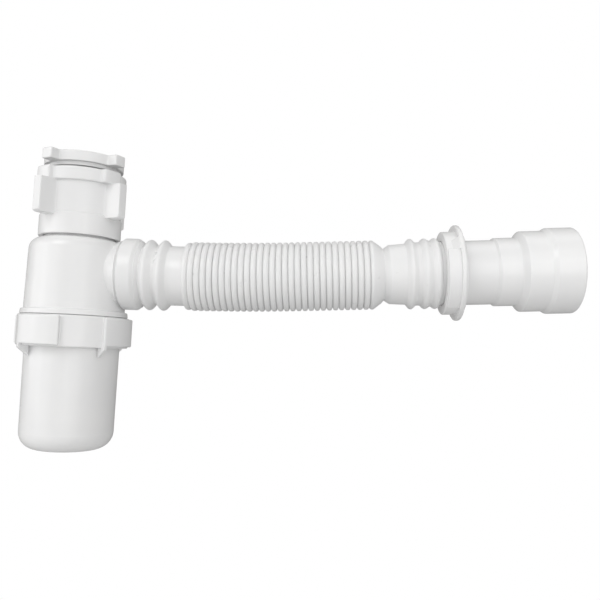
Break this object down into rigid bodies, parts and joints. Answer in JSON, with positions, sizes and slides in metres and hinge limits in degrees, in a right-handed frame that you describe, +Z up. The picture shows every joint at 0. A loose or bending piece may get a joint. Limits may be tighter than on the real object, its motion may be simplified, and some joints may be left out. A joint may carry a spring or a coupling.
{
  "type": "flexible sink trap",
  "caption": "Bottle trap with a screw-off cup, lugged union nuts and a dip tube, and a corrugated flexible outlet hose ending in a stepped drain spigot.",
  "frame": {"origin": "centre of the inlet washer's upper face, where the threaded end of the basin waste lands, on the bottle's axis", "axes": "+Z up along the bottle's axis, +X along the outlet as it leaves the body"},
  "size_m": [0.3469, 0.0724, 0.1821],
  "materials": {
    "white_plastic": "gloss white polypropylene",
    "hose_plastic": "soft gloss white polypropylene",
    "rubber": "black rubber"
  },
  "bodies": {
    "body": {"trap_body": "white_plastic", "neck_seal": "rubber", "cup_seal": "rubber"},
    "dip_tube": {"inlet_tube": "white_plastic", "inlet_washer": "rubber"},
    "inlet_nut": {"inlet_nut": "white_plastic"},
    "slip_ring": {"neck_slip_ring": "white_plastic"},
    "neck_nut": {"neck_nut": "white_plastic"},
    "cup": {"cup": "white_plastic"},
    "union_nut": {"union_nut": "white_plastic"},
    "hose": {"hose": "hose_plastic"},
    "drain_end": {"outlet_adapter": "white_plastic", "hose_end_seal": "rubber"},
    "flange_nut": {"flange_nut": "white_plastic"}
  },
  "joints": [
    {"name": "dip_tube_height", "type": "slide", "parent": "body", "child": "dip_tube", "axis": [0, 0, 1], "range_m": [0, 0.03]},
    {"name": "inlet_nut_turn", "type": "hinge", "parent": "dip_tube", "child": "inlet_nut", "pos_m": [0, 0, 0], "axis": [0, 0, 1], "continuous": true},
    {"name": "neck_nut_rise", "type": "slide", "parent": "body", "child": "slip_ring", "axis": [0, 0, 1], "range_m": [0, 0.00105]},
    {"name": "neck_nut_turn", "type": "hinge", "parent": "slip_ring", "child": "neck_nut", "pos_m": [0, 0, 0], "axis": [0, 0, 1], "range_deg": [0, 120]},
    {"name": "cup_drop", "type": "slide", "parent": "body", "child": "cup", "axis": [0, 0, 1], "range_m": [-0.01205, 0]},
    {"name": "union_nut_turn", "type": "hinge", "parent": "cup", "child": "union_nut", "pos_m": [0, 0, 0], "axis": [0, 0, 1], "range_deg": [-1440, 0]},
    {"name": "hose_bend", "type": "hinge", "parent": "body", "child": "hose", "pos_m": [0.0665, 0, -0.06885], "axis": [0, 1, 0], "range_deg": [-45, 60], "deforming": ["hose"]},
    {"name": "hose_stretch", "type": "slide", "parent": "hose", "child": "drain_end", "axis": [0.998, 0, 0.0628], "range_m": [0, 0.06], "deforming": ["hose"]},
    {"name": "flange_nut_turn", "type": "hinge", "parent": "drain_end", "child": "flange_nut", "pos_m": [0.22878, 0, -0.06074], "axis": [0.998, 0, 0.0628], "continuous": true}
  ],
  "couplings": [
    {"joint": "neck_nut_rise", "follows": "neck_nut_turn", "m_per_rad": 0.00047746},
    {"joint": "cup_drop", "follows": "union_nut_turn", "m_per_rad": 0.00047746}
  ]
}
